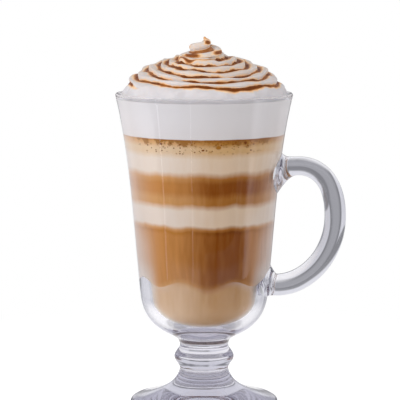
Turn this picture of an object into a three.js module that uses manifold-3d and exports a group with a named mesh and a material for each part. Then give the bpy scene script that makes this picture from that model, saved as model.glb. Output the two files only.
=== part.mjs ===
// Footed glass mug of layered coffee, topped with a piped swirl of whipped cream and a syrup drizzle.
// Millimetres, +Z up. The origin is the centre of the foot's underside and the handle points along +X.
import * as THREE from "three";
import { mergeVertices } from "three/addons/utils/BufferGeometryUtils.js";
import Module from "manifold-3d";

const wasm = await Module();
wasm.setup();

// Glass: heights are measured from the table
const glassHeight = 141.2;
const rimDiameter = 78.8;
const rimWall = 1.8;
const heelHeight = 50;
const heelDiameter = 56.8;
const heelWall = 4.8;
const floorHeight = 35.4;
const bowlNeckHeight = 28.6;
const neckDiameter = 21.9;
const knopDiameter = 26.8;
const footNeckHeight = 17.6;
const footDiameter = 67;
const footEdgeHeight = 3.2;
const footEdgeRound = 1.2;

// Handle: a solid glass ear, fused to the wall by a flared pad at each end
const handleReach = 63.3;
const handleThickness = 9.4;
const handleDepth = 11.4;
const handleMidHeight = 86;
const upperRootHeight = 106.4;
const lowerRootHeight = 55.2;
const padFlare = 3.2;
const padLength = 8;

// Drink: layer depths from the top down, and what is left above the floor is the lowest layer
const fillBelowRim = 2;
const foamDepth = 15.2;
const cremaDepth = 7.7;
const upperMilkDepth = 7.5;
const caramelCoffeeDepth = 13.4;
const lowerMilkDepth = 10.9;
const coffeeDepth = 25.3;

// Cream: distances along the mound are measured up its profile from the rim
const creamRise = 17.9;
const swirlPitch = 5.6;
const swirlStart = 8.6;
const swirlLean = 6;
const waveSwing = 0.45;
const grooveDepth = 1.4;
const grooveWidth = 3.2;
const peakHeight = 7;
const peakDiameter = 15.6;
const peakTipDiameter = 1.6;
const peakCurl = 1.5;

// Syrup
const syrupWidth = 1.9;
const syrupHeight = 0.9;

// Clearances
const fillClearance = 0.3;
const seatClearance = 0.3;

// Facets
const roundSegments = 48;
const wallSteps = 9;
const curveSteps = 6;
const handleSides = 16;
const handleSteps = 30;
const swirlSectors = 54;
const swirlRings = 36;
const peakSides = 20;
const peakRings = 9;

const { euclideanModulo, lerp, smoothstep } = THREE.MathUtils;
const fullTurn = 2 * Math.PI;
const point = (r, z) => new THREE.Vector2(r, z);

// Profile curves of the glass

const rimRadius = rimDiameter / 2;
const heelRadius = heelDiameter / 2;
const neckRadius = neckDiameter / 2;
const footRadius = footDiameter / 2;
const lipRadius = rimWall / 2;
const wallTop = glassHeight - lipRadius;

// The wall is nearly straight above the heel and flares towards the rim
const outerWall = new THREE.CubicBezierCurve(
  point(heelRadius, heelHeight),
  point(lerp(heelRadius, rimRadius, 0.28), lerp(heelHeight, wallTop, 0.33)),
  point(lerp(heelRadius, rimRadius, 0.4), lerp(heelHeight, wallTop, 0.7)),
  point(rimRadius, wallTop),
);

// Below the heel the bowl rounds in, and then hollows out into the neck
const turnRadius = lerp(neckRadius, heelRadius, 0.38);
const turnHeight = lerp(bowlNeckHeight, heelHeight, 0.26);
const outerHeel = new THREE.CubicBezierCurve(
  point(turnRadius, turnHeight),
  point(lerp(turnRadius, heelRadius, 0.55), lerp(turnHeight, heelHeight, 0.2)),
  point(lerp(turnRadius, heelRadius, 0.9), lerp(turnHeight, heelHeight, 0.52)),
  point(heelRadius, heelHeight),
);
const outerNeck = new THREE.CubicBezierCurve(
  point(neckRadius, bowlNeckHeight),
  point(neckRadius, lerp(bowlNeckHeight, turnHeight, 0.5)),
  point(lerp(neckRadius, turnRadius, 0.4), lerp(bowlNeckHeight, turnHeight, 0.65)),
  point(turnRadius, turnHeight),
);
const outerPoints = [
  ...outerNeck.getPoints(curveSteps),
  ...outerHeel.getPoints(curveSteps).slice(1),
  ...outerWall.getPoints(wallSteps).slice(1),
];

// The inside of the bowl, from the centre of its floor to the rim: the wall thins towards the rim
const innerHeelRadius = heelRadius - heelWall;
const innerFloor = new THREE.CubicBezierCurve(
  point(0, floorHeight),
  point(innerHeelRadius * 0.62, floorHeight),
  point(innerHeelRadius * 0.95, lerp(floorHeight, heelHeight, 0.38)),
  point(innerHeelRadius, heelHeight),
);
const innerWallPoints = outerWall
  .getPoints(wallSteps)
  .map((p, i) => point(p.x - lerp(heelWall, rimWall, i / wallSteps), p.y));
const innerPoints = [...innerFloor.getPoints(curveSteps), ...innerWallPoints.slice(1)];

// Radius at one height of a profile that is listed upwards
function radiusAt(profile, height) {
  const next = profile.findIndex((p) => p.y >= height);
  if (next < 0) return profile.at(-1).x;
  if (next === 0) return profile[0].x;
  const below = profile[next - 1];
  const above = profile[next];
  return lerp(below.x, above.x, (height - below.y) / (above.y - below.y));
}

// Geometry helpers

// A closed profile of (radius, height) points, turned about Z
function revolve(profile) {
  const geometry = new THREE.LatheGeometry(profile, roundSegments);
  geometry.rotateX(Math.PI / 2);
  geometry.deleteAttribute("normal");
  geometry.deleteAttribute("uv");
  const merged = mergeVertices(geometry, 1e-4);
  const kept = [];
  for (let i = 0; i < merged.index.count; i += 3) {
    const [a, b, c] = merged.index.array.slice(i, i + 3);
    if (a !== b && b !== c && c !== a) kept.push(a, b, c);
  }
  merged.setIndex(kept);
  merged.computeVertexNormals();
  return merged;
}

// Joins rings of equal length into a skin, with a fan on its first and last ring
function loft(rings) {
  const sides = rings[0].length;
  const points = rings.flat();
  const index = [];
  for (let i = 0; i + 1 < rings.length; i++) {
    for (let j = 0; j < sides; j++) {
      const a = i * sides + j;
      const b = i * sides + ((j + 1) % sides);
      index.push(a, b, b + sides, a, b + sides, a + sides);
    }
  }
  for (const [first, flip] of [[0, true], [points.length - sides, false]]) {
    const middle = points.length;
    const centre = new THREE.Vector3();
    for (let j = 0; j < sides; j++) {
      const a = first + j;
      const b = first + ((j + 1) % sides);
      centre.addScaledVector(points[a], 1 / sides);
      index.push(middle, flip ? b : a, flip ? a : b);
    }
    points.push(centre);
  }
  const geometry = new THREE.BufferGeometry().setFromPoints(points);
  geometry.setIndex(index);
  geometry.computeVertexNormals();
  return geometry;
}

function toSolid(geometry) {
  const vertProperties = new Float32Array(geometry.attributes.position.array);
  const triVerts = new Uint32Array(geometry.index.array);
  return new wasm.Manifold(new wasm.Mesh({ numProp: 3, vertProperties, triVerts }));
}

function toGeometry(solid) {
  const { vertProperties, triVerts } = solid.getMesh();
  const geometry = new THREE.BufferGeometry();
  geometry.setAttribute("position", new THREE.BufferAttribute(vertProperties, 3));
  geometry.setIndex(new THREE.BufferAttribute(triVerts, 1));
  geometry.computeVertexNormals();
  return geometry;
}

const mug = new THREE.Group();
mug.name = "layered_coffee_glass";

function add(name, geometry, color, roughness, clearness = 0) {
  const material = new THREE.MeshStandardMaterial({ color, roughness, metalness: 0 });
  material.transparent = clearness > 0;
  material.opacity = 1 - clearness;
  const mesh = new THREE.Mesh(geometry, material);
  mesh.name = name;
  mug.add(mesh);
}

// Bowl: neck, heel, flared wall, fire-polished rim and the rounded inside

function bowlGeometry() {
  const lip = new THREE.EllipseCurve(rimRadius - lipRadius, wallTop, lipRadius, lipRadius, 0, Math.PI);
  return revolve([
    point(0, bowlNeckHeight),
    ...outerPoints,
    ...lip.getPoints(curveSteps).slice(1, -1),
    ...innerPoints.toReversed(),
  ]);
}

// Stem: a short baluster with one round knop between the two necks

function stemGeometry() {
  const steps = 2 * curveSteps;
  const bulge = (knopDiameter - neckDiameter) / 2;
  const profile = [point(0, footNeckHeight)];
  for (let i = 0; i <= steps; i++) {
    const share = i / steps;
    const swell = ((1 - Math.cos(fullTurn * share)) / 2) ** 1.2;
    profile.push(point(neckRadius + bulge * swell, lerp(footNeckHeight, bowlNeckHeight, share)));
  }
  profile.push(point(0, bowlNeckHeight));
  return revolve(profile);
}

// Foot: a thin-edged disc that sweeps up into the lower neck, with a flat underside

function footGeometry() {
  const brim = footRadius - 2 * footEdgeRound;
  const edge = new THREE.CubicBezierCurve(
    point(footRadius - footEdgeRound, 0),
    point(footRadius + footEdgeRound / 3, 0),
    point(footRadius + footEdgeRound / 3, footEdgeHeight),
    point(brim, footEdgeHeight),
  );
  const top = new THREE.CubicBezierCurve(
    point(brim, footEdgeHeight),
    point(lerp(neckRadius, footRadius, 0.42), lerp(footEdgeHeight, footNeckHeight, 0.2)),
    point(lerp(neckRadius, footRadius, 0.05), lerp(footEdgeHeight, footNeckHeight, 0.48)),
    point(neckRadius, footNeckHeight),
  );
  return revolve([
    point(0, 0),
    ...edge.getPoints(curveSteps),
    ...top.getPoints(curveSteps).slice(1),
    point(0, footNeckHeight),
  ]);
}

// Handle: one loop of oval section whose ends flare into pads, cut to the wall that they are fused to

function handlePath() {
  const midReach = handleReach - handleThickness / 2;
  const rootAt = (height) => new THREE.Vector3(radiusAt(outerPoints, height) - heelWall / 2, 0, height);
  const upper = rootAt(upperRootHeight);
  const lower = rootAt(lowerRootHeight);
  const outermost = new THREE.Vector3(midReach, 0, handleMidHeight);
  const path = new THREE.CurvePath();
  path.add(
    new THREE.CubicBezierCurve3(
      upper,
      new THREE.Vector3(lerp(upper.x, midReach, 0.34), 0, upperRootHeight + handleThickness * 0.5),
      new THREE.Vector3(midReach, 0, upperRootHeight + handleThickness * 0.3),
      outermost,
    ),
  );
  path.add(
    new THREE.CubicBezierCurve3(
      outermost,
      new THREE.Vector3(midReach, 0, lerp(handleMidHeight, lowerRootHeight, 0.6)),
      new THREE.Vector3(lerp(midReach, lower.x, 0.48), 0, lowerRootHeight - handleThickness * 0.25),
      lower,
    ),
  );
  return path;
}

function handleGeometry() {
  const path = handlePath();
  const length = path.getLength();
  const rings = [];
  for (let i = 0; i <= handleSteps; i++) {
    // Steps are closer near the pads, where the section changes fastest
    const share = (1 - Math.cos((Math.PI * i) / handleSteps)) / 2;
    const centre = path.getPointAt(share);
    const along = path.getTangentAt(share);
    const across = new THREE.Vector3(along.z, 0, -along.x);
    const fromWall = Math.min(share, 1 - share) * length - heelWall / 2;
    const nearWall = 1 - smoothstep(fromWall, 0, padLength);
    const flare = padFlare * nearWall ** 2;
    // The pads stand upright, flat against the wall
    across.lerp(new THREE.Vector3(0, 0, Math.sign(across.z)), nearWall).normalize();
    const ring = [];
    for (let j = 0; j < handleSides; j++) {
      const angle = (fullTurn * j) / handleSides;
      const inPlane = Math.cos(angle) * (handleThickness / 2 + flare);
      const sideways = new THREE.Vector3(0, Math.sin(angle) * (handleDepth / 2 + flare), 0);
      ring.push(sideways.add(centre).addScaledVector(across, inPlane));
    }
    rings.push(ring);
  }
  const grown = outerPoints.map((p) => point(p.x + seatClearance, p.y));
  const wallCutter = revolve([point(0, bowlNeckHeight), ...grown, point(0, wallTop)]);
  return toGeometry(toSolid(loft(rings)).subtract(toSolid(wallCutter)));
}

const glassColor = 0xdfe3e8;
const glassRoughness = 0.03;
const glassClearness = 0.65;
add("glass_bowl", bowlGeometry(), glassColor, glassRoughness, glassClearness);
add("glass_stem", stemGeometry(), glassColor, glassRoughness, glassClearness);
add("glass_foot", footGeometry(), glassColor, glassRoughness, glassClearness);
add("glass_handle", handleGeometry(), glassColor, glassRoughness, glassClearness);

// Drink: seven layers that fill the bowl, each resting on the one below

// The inside of the bowl, drawn in by the clearance along its normals
const fillPoints = innerPoints.map((p, i) => {
  const before = innerPoints[Math.max(i - 1, 0)];
  const after = innerPoints[Math.min(i + 1, innerPoints.length - 1)];
  const along = after.clone().sub(before).normalize();
  const radius = i === 0 ? 0 : p.x - along.y * fillClearance;
  return point(radius, p.y + along.x * fillClearance);
});

function layerGeometry(bottom, top) {
  const side = fillPoints.filter((p) => p.y > bottom && p.y < top);
  const start = [point(0, bottom), point(radiusAt(fillPoints, bottom), bottom)];
  return revolve([...start, ...side, point(radiusAt(fillPoints, top), top), point(0, top)]);
}

const drinkTop = glassHeight - fillBelowRim;
const cremaTop = drinkTop - foamDepth;
const upperMilkTop = cremaTop - cremaDepth;
const caramelCoffeeTop = upperMilkTop - upperMilkDepth;
const lowerMilkTop = caramelCoffeeTop - caramelCoffeeDepth;
const coffeeTop = lowerMilkTop - lowerMilkDepth;
const milkCoffeeTop = coffeeTop - coffeeDepth;
const drinkFloor = fillPoints[0].y;

add("milk_coffee_layer", layerGeometry(drinkFloor, milkCoffeeTop), 0xbf9b70, 0.4);
add("coffee_layer", layerGeometry(milkCoffeeTop, coffeeTop), 0x93571f, 0.35);
add("lower_milk_layer", layerGeometry(coffeeTop, lowerMilkTop), 0xdfd4c8, 0.45);
add("caramel_coffee_layer", layerGeometry(lowerMilkTop, caramelCoffeeTop), 0xa9722f, 0.4);
add("upper_milk_layer", layerGeometry(caramelCoffeeTop, upperMilkTop), 0xddd0c2, 0.45);
add("crema_layer", layerGeometry(upperMilkTop, cremaTop), 0xc9a468, 0.45);
add("milk_foam", layerGeometry(cremaTop, drinkTop), 0xe9e7ea, 0.6);

// Whipped cream: a mound piped as one long rope, wound up from the rim to the seat of the dollop

const seatHeight = glassHeight + creamRise;
const peakRadius = peakDiameter / 2;
const moundRadius = radiusAt(fillPoints, drinkTop);
const moundProfile = new THREE.CubicBezierCurve(
  point(moundRadius, drinkTop),
  point(lerp(peakRadius, moundRadius, 0.98), lerp(drinkTop, seatHeight, 0.6)),
  point(lerp(peakRadius, moundRadius, 0.56), lerp(drinkTop, seatHeight, 0.76)),
  point(peakRadius, seatHeight),
);
const moundLength = moundProfile.getLength();
const sector = fullTurn / swirlSectors;

// The groove winds up from the right of the front, and each turn dips towards the front
const frontAngle = -Math.PI / 2;
const grooveBegin = -Math.PI / 2;
const grooveFade = Math.PI / 3;
const wavesPerTurn = 7;

// How far a turn lies from where it passes the front, at an angle from the front
function sway(fromFront) {
  const frontness = (1 + Math.cos(fromFront)) / 2;
  return swirlLean * (1 - frontness ** 2) + waveSwing * Math.sin(wavesPerTurn * fromFront);
}

// Distance of the groove from the rim, at an angle wound up from the front
function grooveDistance(wound) {
  return swirlStart + (swirlPitch * wound) / fullTurn + sway(wound);
}

// The groove ends where it first comes within a turn's half of the dollop's seat
const grooveLimit = moundLength - swirlPitch / 2;
let grooveEnd = 0;
while (grooveDistance(grooveEnd) < grooveLimit) grooveEnd += sector;

// Depth of the groove at one distance from the rim and one angle about the axis
function grooveAt(distance, angle) {
  const pastBegin = euclideanModulo(frontAngle - angle - grooveBegin, fullTurn);
  let depth = 0;
  for (let wound = grooveBegin + pastBegin; wound < grooveEnd; wound += fullTurn) {
    const off = (distance - grooveDistance(wound)) / (grooveWidth / 2);
    const ends = Math.min(wound - grooveBegin, grooveEnd - wound);
    depth = Math.max(depth, smoothstep(ends, 0, grooveFade) * Math.exp(-(off ** 2)));
  }
  const edges = smoothstep(Math.min(distance, moundLength - distance), 0, swirlPitch / 2);
  return grooveDepth * depth * edges;
}

// A point at one distance up the mound's profile, moved along its normal
function onMound(distance, angle, offset) {
  const share = distance / moundLength;
  const p = moundProfile.getPointAt(share);
  const along = moundProfile.getTangentAt(share);
  const radius = p.x + along.y * offset;
  return new THREE.Vector3(radius * Math.cos(angle), radius * Math.sin(angle), p.y - along.x * offset);
}

// The mound's rings sway with the groove, so that its facets run along it
function ringDistance(ring, angle) {
  const share = ring / swirlRings;
  const follow = smoothstep(share, 0, 0.2) * (1 - smoothstep(share, 0.8, 1));
  return moundLength * share + follow * (sway(frontAngle - angle) - swirlLean / 2);
}

// Depth of the groove as the facets have it, straight between one ring and the next
function facetGroove(distance, angle) {
  let ring = 0;
  while (ringDistance(ring + 1, angle) < distance) ring++;
  const outer = ringDistance(ring, angle);
  const inner = ringDistance(ring + 1, angle);
  return lerp(grooveAt(outer, angle), grooveAt(inner, angle), (distance - outer) / (inner - outer));
}

function moundGeometry() {
  const rings = [];
  for (let i = 0; i <= swirlRings; i++) {
    const ring = [];
    for (let j = 0; j < swirlSectors; j++) {
      const distance = ringDistance(i, j * sector);
      ring.push(onMound(distance, j * sector, -grooveAt(distance, j * sector)));
    }
    rings.push(ring);
  }
  return loft(rings);
}

// The last dollop, pulled up from the nozzle into a fluted tip that curls over

function peakGeometry() {
  const baseRadius = peakRadius - seatClearance;
  const flutes = 5;
  const rings = [];
  for (let i = 0; i <= peakRings; i++) {
    const share = i / peakRings;
    const taper = lerp(baseRadius, peakTipDiameter / 2, share ** 0.9);
    const curl = peakCurl * share ** 3;
    const ring = [];
    for (let j = 0; j < peakSides; j++) {
      const angle = (fullTurn * j) / peakSides;
      const flute = 1 + 0.1 * Math.sin(Math.PI * share) * Math.cos(flutes * (angle - 1.2 * share));
      const x = taper * flute * Math.cos(angle) - curl;
      ring.push(new THREE.Vector3(x, taper * flute * Math.sin(angle), seatHeight + peakHeight * share));
    }
    rings.push(ring);
  }
  return loft(rings);
}

// Syrup: one line poured along the groove, from the lowest turn up to the dollop

function syrupGeometry() {
  const half = syrupWidth / 2;
  const section = [
    [-half, 0],
    [-half * 0.6, syrupHeight],
    [half * 0.6, syrupHeight],
    [half, 0],
    [0, 0],
  ];
  const firstSector = Math.floor((frontAngle - grooveBegin - grooveFade) / sector);
  const lastSector = Math.ceil((frontAngle - grooveEnd + grooveFade) / sector);
  const rings = [];
  for (let j = firstSector; j >= lastSector; j--) {
    const angle = j * sector;
    const line = grooveDistance(frontAngle - angle);
    const onCream = ([side, lift]) => {
      const offset = seatClearance + lift - facetGroove(line + side, angle);
      return onMound(line + side, angle, offset);
    };
    rings.push(section.map(onCream));
  }
  return loft(rings);
}

add("whipped_cream", moundGeometry(), 0xf6f2ec, 0.7);
add("cream_peak", peakGeometry(), 0xf6f2ec, 0.7);
add("syrup_drizzle", syrupGeometry(), 0x6b3a12, 0.25);

export default mug;
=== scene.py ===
import math

import bpy
import numpy as np
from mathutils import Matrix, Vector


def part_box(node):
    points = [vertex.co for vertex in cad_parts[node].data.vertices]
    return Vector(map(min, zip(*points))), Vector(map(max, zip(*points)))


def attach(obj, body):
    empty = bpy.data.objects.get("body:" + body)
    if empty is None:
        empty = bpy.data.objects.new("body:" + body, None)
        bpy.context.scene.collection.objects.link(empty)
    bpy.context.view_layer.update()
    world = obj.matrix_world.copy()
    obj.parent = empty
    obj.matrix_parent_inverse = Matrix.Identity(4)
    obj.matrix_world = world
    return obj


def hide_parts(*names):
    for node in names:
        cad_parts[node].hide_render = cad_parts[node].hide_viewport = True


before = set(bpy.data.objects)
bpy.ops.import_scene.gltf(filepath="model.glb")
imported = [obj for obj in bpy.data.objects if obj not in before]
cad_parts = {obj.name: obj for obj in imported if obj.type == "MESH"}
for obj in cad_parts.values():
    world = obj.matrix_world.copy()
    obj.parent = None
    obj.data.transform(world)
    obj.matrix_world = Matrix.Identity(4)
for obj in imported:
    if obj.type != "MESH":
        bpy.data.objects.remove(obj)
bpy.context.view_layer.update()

mm = 0.001  # shapes below are worked out in millimetres and scaled once, in addMesh
fullTurn = 2 * math.pi
frontAngle = -math.pi / 2  # the front is towards -Y
crispFrom = math.radians(50)  # edges that turn more than this stay sharp
print("frame loaded:", len(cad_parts), "nodes")


# small maths

def lerp(a, b, share):
    return a + (b - a) * share


def smoothStep(value, low, high):
    t = np.clip((value - low) / (high - low), 0.0, 1.0)
    return t * t * (3 - 2 * t)


def bezier(p0, p1, p2, p3, steps):
    t = np.linspace(0.0, 1.0, steps + 1)[:, None]
    points = [np.array(p, float) for p in (p0, p1, p2, p3)]
    weights = ((1 - t) ** 3, 3 * (1 - t) ** 2 * t, 3 * (1 - t) * t ** 2, t ** 3)
    return sum(w * p for w, p in zip(weights, points))


def between(start, end, shares):
    # a point of the box from start to end, by its shares across and up
    return tuple(lerp(*ends) for ends in zip(start, end, shares))


def bowed(start, end, bow, steps):
    # a curve from start to end, drawn towards the two places in bow
    first, second = (between(start, end, shares) for shares in bow)
    return bezier(start, first, second, end, steps)


def unit(rows):
    return rows / np.linalg.norm(rows, axis=1)[:, None]


def lengthAlong(points):
    return np.r_[0, np.cumsum(np.linalg.norm(np.diff(points, axis=0), axis=1))]


def turnSteps(count):
    return np.arange(count) * fullTurn / count


def aroundAxis(radius, angle, height):
    return np.stack(np.broadcast_arrays(radius * np.cos(angle), radius * np.sin(angle), height), -1)


def ripple(x, seed):
    # smooth, fixed unevenness between -1 and 1, from a few sines that never line up
    tones = ((1.0, 0.5), (2.3, 0.28), (4.1, 0.15), (7.7, 0.07))
    return sum(size * np.sin(rate * x + seed * (1.7 + rate)) for rate, size in tones)


# mesh building

def addObject(name, data):
    item = bpy.data.objects.new(name, data)
    bpy.context.collection.objects.link(item)
    return item


def addMesh(name, points, faces):
    mesh = bpy.data.meshes.new(name)
    mesh.from_pydata((points * mm).tolist(), [], faces)
    mesh.shade_smooth()
    mesh.set_sharp_from_angle(angle=crispFrom)
    return addObject(name, mesh)


def skinRings(rings):
    # rings is rows x sides x 3; each end is closed by a fan about its middle
    rows, sides, _ = rings.shape
    points = rings.reshape(-1, 3)
    row, side = np.meshgrid(np.arange(rows - 1), np.arange(sides), indexing="ij")
    a = (row * sides + side).ravel()
    b = (row * sides + (side + 1) % sides).ravel()
    faces = np.stack([a, b, b + sides, a + sides], axis=1).tolist()
    for first, flip in ((0, True), ((rows - 1) * sides, False)):
        ring = np.arange(first, first + sides)
        middle = len(points)
        points = np.vstack([points, points[ring].mean(axis=0)])
        pairs = zip(np.roll(ring, -1), ring) if flip else zip(ring, np.roll(ring, -1))
        faces += [(middle, int(p), int(q)) for p, q in pairs]
    return points, faces


def joined(skins):
    # several skins as one
    starts = np.cumsum([0] + [len(points) for points, _ in skins])
    faces = [tuple(int(v + start) for v in face)
             for start, (_, part) in zip(starts, skins) for face in part]
    return np.vstack([points for points, _ in skins]), faces


# material building

def srgb(*levels):
    # colours are written as seen on a screen, 0 to 255
    shares = [level / 255 for level in levels]
    return (*(s / 12.92 if s <= 0.04045 else ((s + 0.055) / 1.055) ** 2.4 for s in shares), 1.0)


class NodeKit:
    def __init__(self, material):
        self.nodes = material.node_tree.nodes
        self.links = material.node_tree.links

    def fill(self, node, values):
        # a socket of another node is linked, anything else is a plain value
        for name, value in values.items():
            if isinstance(value, bpy.types.NodeSocket):
                self.links.new(value, node.inputs[name])
            else:
                node.inputs[name].default_value = value
        return node

    def add(self, kind, values=None, **settings):
        node = self.nodes.new(kind)
        for key, value in settings.items():
            setattr(node, key, value)
        return self.fill(node, values or {})

    def math(self, operation, *values, clamp=False):
        values = dict(enumerate(values))
        return self.add("ShaderNodeMath", values, operation=operation, use_clamp=clamp).outputs[0]

    def times(self, first, second):
        return self.math("MULTIPLY", first, second)

    def blend(self, share, first, second):
        # a number between two others
        return self.math("MULTIPLY_ADD", self.math("SUBTRACT", second, first), share, first)

    def mapRange(self, value, low, high, toLow=0.0, toHigh=1.0, smooth=True):
        values = dict(enumerate((value, low, high, toLow, toHigh)))
        kind = "SMOOTHSTEP" if smooth else "LINEAR"
        return self.add("ShaderNodeMapRange", values, interpolation_type=kind).outputs[0]

    def noise(self, stretch, detail=3.0, roughness=0.5):
        # stretch is how many lumps there are in a millimetre, along x, y and z
        values = {"Vector": self.places(stretch), "Scale": 1.0, "Detail": detail, "Roughness": roughness}
        return self.add("ShaderNodeTexNoise", values).outputs["Fac"]

    def mix(self, share, first, second):
        # 6, 7 and 2 are the sockets for colours
        return self.add("ShaderNodeMix", {0: share, 6: first, 7: second}, data_type="RGBA").outputs[2]

    def ramp(self, value, stops):
        node = self.add("ShaderNodeValToRGB", {0: value})
        elements = node.color_ramp.elements
        while len(elements) < len(stops):
            elements.new(0.5)
        for element, (place, color) in zip(elements, stops):
            element.position = place
            element.color = color
        return node.outputs[0]

    def bump(self, height, strength, distance):
        values = {"Strength": strength, "Distance": distance, "Height": height}
        return self.add("ShaderNodeBump", values).outputs[0]

    def places(self, stretch=(1, 1, 1)):
        # the piece's own coordinates, in millimetres times stretch
        own = self.add("ShaderNodeTexCoord").outputs["Object"]
        values = {"Vector": own, "Scale": [s / mm for s in stretch]}
        return self.add("ShaderNodeMapping", values).outputs[0]

    def split(self, vector):
        return self.add("ShaderNodeSeparateXYZ", {0: vector}).outputs


def newMaterial(name, values):
    material = bpy.data.materials.new(name)
    material.use_nodes = True
    kit = NodeKit(material)
    return material, kit, kit.fill(kit.nodes["Principled BSDF"], values)


def dress(piece, material, slot, *nodes):
    piece.data.materials.append(material)
    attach(piece, "root")
    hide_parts(*nodes)


# glass: one turned body from foot to rim, and the handle on its side

bowlLow, bowlHigh = (np.array(c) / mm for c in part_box("glass_bowl"))
stemHigh = np.array(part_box("glass_stem")[1]) / mm
footHigh = np.array(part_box("glass_foot")[1]) / mm
handleHigh = np.array(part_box("glass_handle")[1]) / mm

glass = {
    "rimRadius": bowlHigh[0],
    "height": bowlHigh[2],
    "rimWall": 1.8,
    "heelRadius": 28.4,
    "heelHeight": 50.0,
    "heelWall": 4.8,
    "floorHeight": 35.4,
    "neckRadius": 10.95,
    "bowlNeck": bowlLow[2] - 0.8,
    "knopRadius": stemHigh[0],
    "knopPoint": 0.9,  # higher is more pointed
    "footNeck": footHigh[2] - 0.4,
    "footRadius": footHigh[0],
    "footEdge": 3.3,
    "edgeRound": (1.2, 0.4, 1.4),  # how far in its edge begins, swells out, and ends on top
    "footRing": 4.0,  # width of the ring that the foot stands on
    "kick": 2.4,  # hollow under the foot
    # what each curve is drawn towards, as shares across and up
    "wallBow": ((0.28, 0.33), (0.4, 0.7)),
    "heelTurn": (0.38, 0.26),  # where the neck's hollow meets the bowl's round
    "neckBow": ((0.0, 0.5), (0.4, 0.65)),
    "bowlBow": ((0.55, 0.2), (0.9, 0.52)),
    "floorBow": ((0.62, 0.0), (0.95, 0.38)),
    "footBow": ((0.42, 0.2), (0.05, 0.48)),
    "sides": 160,
    "curveSteps": 18,
    "floorSteps": 24,
    "wallSteps": 40,
    "lipSteps": 14,
    "color": srgb(254, 254, 255),
    "ior": 1.5,
    "tint": (0.62, 0.6, 0.7, 1.0),
    "tintDensity": 26.0,  # per metre
    "mouldWaves": 0.0006,  # metres
    "smearRoughness": 0.03,
}
heelCorner = (glass["heelRadius"], glass["heelHeight"])
lipRadius = glass["rimWall"] / 2
wallTop = glass["height"] - lipRadius


def outerWall(steps):
    return bowed(heelCorner, (glass["rimRadius"], wallTop), glass["wallBow"], steps)


def outerHeel(steps):
    turn = between((glass["neckRadius"], bowlLow[2]), heelCorner, glass["heelTurn"])
    neck = bowed((glass["neckRadius"], glass["bowlNeck"]), turn, glass["neckBow"], steps)
    bowl = bowed(turn, heelCorner, glass["bowlBow"], steps)
    return np.vstack([neck, bowl[1:]])


def innerSide(floorSteps, wallSteps):
    # from the middle of the floor up to the rim
    heel = (glass["heelRadius"] - glass["heelWall"], glass["heelHeight"])
    floor = bowed((0, glass["floorHeight"]), heel, glass["floorBow"], floorSteps)
    wall = outerWall(wallSteps)
    wall[:, 0] -= np.linspace(glass["heelWall"], glass["rimWall"], len(wall))
    return np.vstack([floor, wall[1:]])


def knopSide(steps):
    share = np.linspace(0, 1, steps + 1)
    swell = ((1 - np.cos(fullTurn * share)) / 2) ** glass["knopPoint"]
    radius = lerp(glass["neckRadius"], glass["knopRadius"], swell)
    return np.stack([radius, lerp(glass["footNeck"], glass["bowlNeck"], share)], axis=1)


def footSide(steps):
    # from the middle of the hollow underside, round the edge and up to the neck
    radius, edge = glass["footRadius"], glass["footEdge"]
    inset, swell, tuck = glass["edgeRound"]
    ring, bulge, shoulder = radius - inset, radius + swell, radius - tuck
    kick, width = glass["kick"], glass["footRing"]
    hollow = bezier((0, kick), (ring * 0.5, kick), (ring - width * 1.6, 0), (ring - width * 0.5, 0), steps)
    rim = bezier((ring, 0), (bulge, 0), (bulge, edge), (shoulder, edge), steps)
    neck = (glass["neckRadius"], glass["footNeck"])
    low, high = (between((neck[0], edge), (radius, neck[1]), shares) for shares in glass["footBow"])
    top = bezier((shoulder, edge), low, high, neck, steps)
    return np.vstack([hollow, rim, top[1:]])


def glassMaterial():
    material, kit, skin = newMaterial("clearGlass", {
        "Base Color": glass["color"], "Transmission Weight": 1.0, "IOR": glass["ior"],
    })
    waves = kit.noise((0.05, 0.05, 0.02), 2.0)  # slow unevenness left by the mould
    smears = kit.noise((0.05, 0.05, 0.05), 4.0)
    kit.fill(skin, {
        "Roughness": kit.mapRange(smears, 0.4, 0.8, 0.0, glass["smearRoughness"]),
        "Normal": kit.bump(waves, 0.1, glass["mouldWaves"]),
    })
    tint = {"Color": glass["tint"], "Density": glass["tintDensity"]}
    absorb = kit.add("ShaderNodeVolumeAbsorption", tint)
    # lamps shine through the glass as if it were not there
    clear = kit.add("ShaderNodeBsdfTransparent")
    shadow = kit.add("ShaderNodeLightPath").outputs["Is Shadow Ray"]
    both = kit.add("ShaderNodeMixShader", {0: shadow, 1: skin.outputs[0], 2: clear.outputs[0]})
    kit.fill(kit.nodes["Material Output"], {"Surface": both.outputs[0], "Volume": absorb.outputs[0]})
    return material


def makeBody():
    lipAngle = np.linspace(0, math.pi, glass["lipSteps"] + 1)[1:-1]
    lip = np.stack([glass["rimRadius"] - lipRadius + lipRadius * np.cos(lipAngle),
                    wallTop + lipRadius * np.sin(lipAngle)], axis=1)
    steps, wallSteps = glass["curveSteps"], glass["wallSteps"]
    outline = np.vstack([footSide(steps), knopSide(2 * steps)[1:], outerHeel(steps)[1:],
                         outerWall(wallSteps)[1:], lip, innerSide(glass["floorSteps"], wallSteps)[::-1]])
    # the outline runs from axis to axis, with the outside on its right
    points, faces = skinRings(aroundAxis(outline[1:-1, :1], turnSteps(glass["sides"]), outline[1:-1, 1:]))
    points[-2:] = [(0, 0, height) for height in outline[[0, -1], 1]]
    return addMesh("glassMug", points, faces)


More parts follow.
